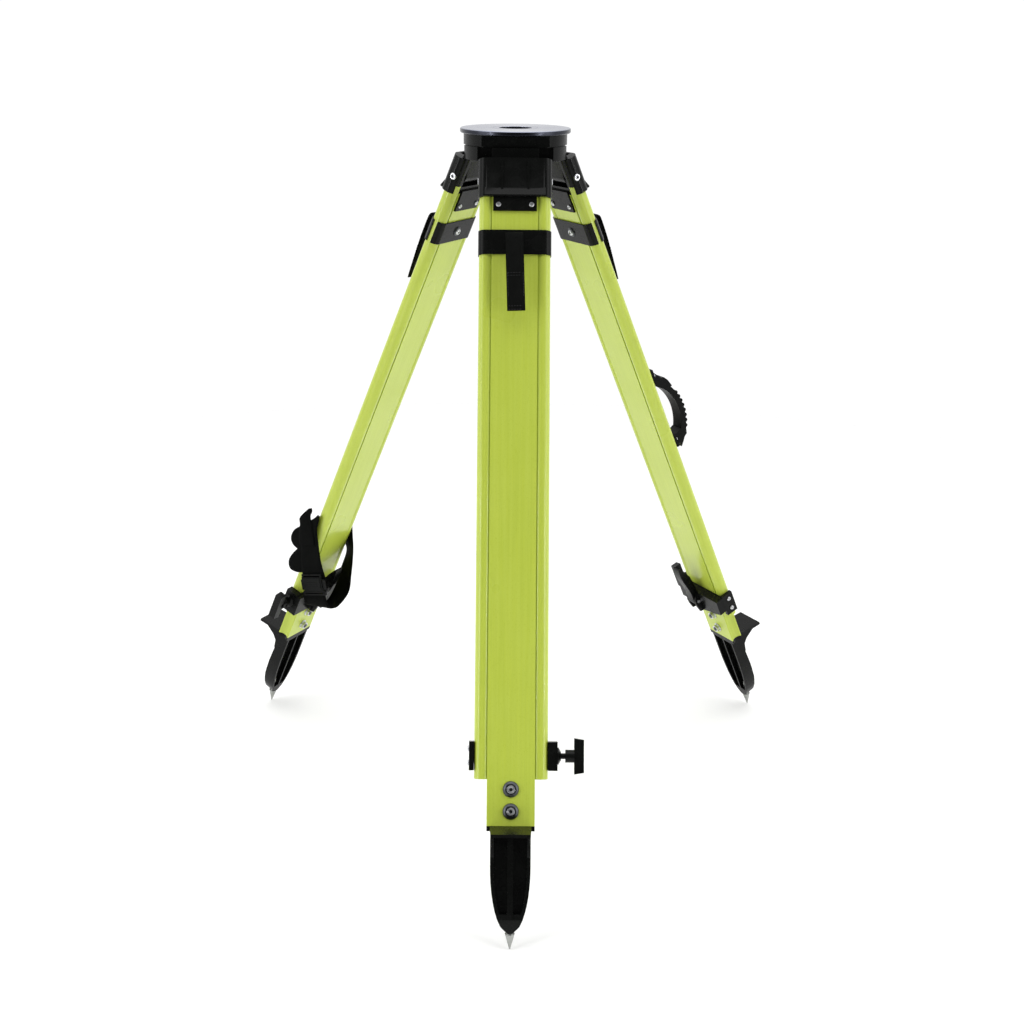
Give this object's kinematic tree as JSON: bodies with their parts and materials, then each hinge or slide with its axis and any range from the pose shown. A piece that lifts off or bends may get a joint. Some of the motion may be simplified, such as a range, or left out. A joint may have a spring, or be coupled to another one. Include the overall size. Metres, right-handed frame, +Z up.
{
  "type": "surveyor tripod",
  "caption": "Surveying tripod with a round flat head, a fixing screw on a swing arm, folding hinged legs and sliding lower legs with clamps and spiked feet.",
  "frame": {"origin": "centre of the head plate's top face, where an instrument sits", "axes": "+Z up out of the head; -Y towards the front leg, +X to the right seen from the front"},
  "size_m": [0.9158, 0.825, 1.0704],
  "materials": {
    "machined_aluminium": "fine turned, satin",
    "black_casting": "black powder coat over cast aluminium, satin",
    "black_steel": "black painted",
    "black_polymer": "moulded glass-filled nylon, satin",
    "fibreglass": "pultruded fibreglass, glossy gel coat",
    "zinc_steel": "zinc plated",
    "webbing": "woven nylon webbing",
    "grip_rubber": "moulded, ribbed"
  },
  "bodies": {
    "head": {"head_plate": "machined_aluminium", "head_body": "black_casting", "hinge_pins": "zinc_steel", "arm_bolt": "zinc_steel"},
    "swing_arm": {"swing_arm": "black_steel"},
    "slot_bush": {"slot_bush": "zinc_steel"},
    "screw_carriage": {"screw_washer": "zinc_steel"},
    "fixing_screw": {"fixing_stud": "zinc_steel", "fixing_knob": "black_polymer"},
    "front_leg": {"front_rails": "fibreglass", "front_spacer": "fibreglass", "front_cap": "black_polymer", "front_screws": "zinc_steel", "front_band": "black_polymer", "front_band_bolt": "zinc_steel", "front_hang_tab": "webbing", "front_clamp_bracket": "black_polymer", "front_cam_pin": "zinc_steel"},
    "front_lever": {"front_cam_lever": "black_polymer"},
    "front_shoe": {"front_clamp_shoe": "black_polymer"},
    "front_tee": {"front_clamp_screw": "black_polymer"},
    "front_lower": {"front_lower_leg": "fibreglass", "front_foot": "black_casting", "front_spike": "zinc_steel", "front_foot_bolts": "zinc_steel"},
    "left_leg": {"left_rails": "fibreglass", "left_spacer": "fibreglass", "left_cap": "black_polymer", "left_screws": "zinc_steel", "left_band": "black_polymer", "left_band_bolt": "zinc_steel", "left_hang_tab": "webbing", "left_clamp_bracket": "black_polymer", "left_cam_pin": "zinc_steel", "shoulder_strap": "webbing", "strap_buckle": "black_polymer"},
    "left_lever": {"left_cam_lever": "black_polymer"},
    "left_shoe": {"left_clamp_shoe": "black_polymer"},
    "left_tee": {"left_clamp_screw": "black_polymer"},
    "left_lower": {"left_lower_leg": "fibreglass", "left_foot": "black_casting", "left_spike": "zinc_steel", "left_foot_bolts": "zinc_steel"},
    "right_leg": {"right_rails": "fibreglass", "right_spacer": "fibreglass", "right_cap": "black_polymer", "right_screws": "zinc_steel", "right_band": "black_polymer", "right_band_bolt": "zinc_steel", "right_hang_tab": "webbing", "right_clamp_bracket": "black_polymer", "right_cam_pin": "zinc_steel", "carry_handle": "grip_rubber"},
    "right_lever": {"right_cam_lever": "black_polymer"},
    "right_shoe": {"right_clamp_shoe": "black_polymer"},
    "right_tee": {"right_clamp_screw": "black_polymer"},
    "right_lower": {"right_lower_leg": "fibreglass", "right_foot": "black_casting", "right_spike": "zinc_steel", "right_foot_bolts": "zinc_steel"}
  },
  "joints": [
    {"name": "arm_swing", "type": "hinge", "parent": "head", "child": "swing_arm", "pos_m": [0, 0.038, -0.03], "axis": [0, 0, 1], "range_deg": [-13, 13]},
    {"name": "bush_slide", "type": "slide", "parent": "swing_arm", "child": "slot_bush", "axis": [0, 1, 0], "range_m": [-0.0125, 0.0125]},
    {"name": "fixing_screw_lift", "type": "slide", "parent": "slot_bush", "child": "screw_carriage", "axis": [0, 0, 1], "range_m": [0, 0.022]},
    {"name": "fixing_screw_turn", "type": "hinge", "parent": "screw_carriage", "child": "fixing_screw", "pos_m": [0, 0, -0.05], "axis": [0, 0, 1], "continuous": true},
    {"name": "front_leg_hinge", "type": "hinge", "parent": "head", "child": "front_leg", "pos_m": [0, -0.0766, -0.07109], "axis": [-1, 0, 0], "range_deg": [-24, 12]},
    {"name": "front_lower_slide", "type": "slide", "parent": "front_leg", "child": "front_lower", "axis": [0, -0.4115, -0.9114], "range_m": [0, 0.6]},
    {"name": "front_lever_turn", "type": "hinge", "parent": "front_leg", "child": "front_lever", "pos_m": [0.01, -0.38826, -0.83667], "axis": [-1, 0, 0], "range_deg": [0, 95]},
    {"name": "front_shoe_slide", "type": "slide", "parent": "front_leg", "child": "front_shoe", "axis": [1, 0, 0], "range_m": [0, 0.003]},
    {"name": "front_clamp_turn", "type": "hinge", "parent": "front_shoe", "child": "front_tee", "pos_m": [0.06, -0.41651, -0.82391], "axis": [1, 0, 0], "range_deg": [0, 720]},
    {"name": "left_leg_hinge", "type": "hinge", "parent": "head", "child": "left_leg", "pos_m": [-0.06634, 0.0383, -0.07109], "axis": [0.5, 0.866, 0], "range_deg": [-24, 12]},
    {"name": "left_lower_slide", "type": "slide", "parent": "left_leg", "child": "left_lower", "axis": [-0.3564, 0.2058, -0.9114], "range_m": [0, 0.6]},
    {"name": "left_lever_turn", "type": "hinge", "parent": "left_leg", "child": "left_lever", "pos_m": [-0.34124, 0.18547, -0.83667], "axis": [0.5, 0.866, 0], "range_deg": [0, 95], "deforming": ["shoulder_strap"]},
    {"name": "left_shoe_slide", "type": "slide", "parent": "left_leg", "child": "left_shoe", "axis": [-0.5, -0.866, 0], "range_m": [0, 0.003]},
    {"name": "left_clamp_turn", "type": "hinge", "parent": "left_shoe", "child": "left_tee", "pos_m": [-0.39071, 0.15629, -0.82391], "axis": [-0.5, -0.866, 0], "range_deg": [0, 720]},
    {"name": "right_leg_hinge", "type": "hinge", "parent": "head", "child": "right_leg", "pos_m": [0.06634, 0.0383, -0.07109], "axis": [0.5, -0.866, 0], "range_deg": [-24, 12]},
    {"name": "right_lower_slide", "type": "slide", "parent": "right_leg", "child": "right_lower", "axis": [0.3564, 0.2058, -0.9114], "range_m": [0, 0.6]},
    {"name": "right_lever_turn", "type": "hinge", "parent": "right_leg", "child": "right_lever", "pos_m": [0.33124, 0.20279, -0.83667], "axis": [0.5, -0.866, 0], "range_deg": [0, 95]},
    {"name": "right_shoe_slide", "type": "slide", "parent": "right_leg", "child": "right_shoe", "axis": [-0.5, 0.866, 0], "range_m": [0, 0.003]},
    {"name": "right_clamp_turn", "type": "hinge", "parent": "right_shoe", "child": "right_tee", "pos_m": [0.33071, 0.26022, -0.82391], "axis": [-0.5, 0.866, 0], "range_deg": [0, 720]}
  ],
  "couplings": [
    {"joint": "front_shoe_slide", "follows": "front_clamp_turn", "m_per_rad": 0.00023873},
    {"joint": "left_shoe_slide", "follows": "left_clamp_turn", "m_per_rad": 0.00023873},
    {"joint": "right_shoe_slide", "follows": "right_clamp_turn", "m_per_rad": 0.00023873}
  ]
}
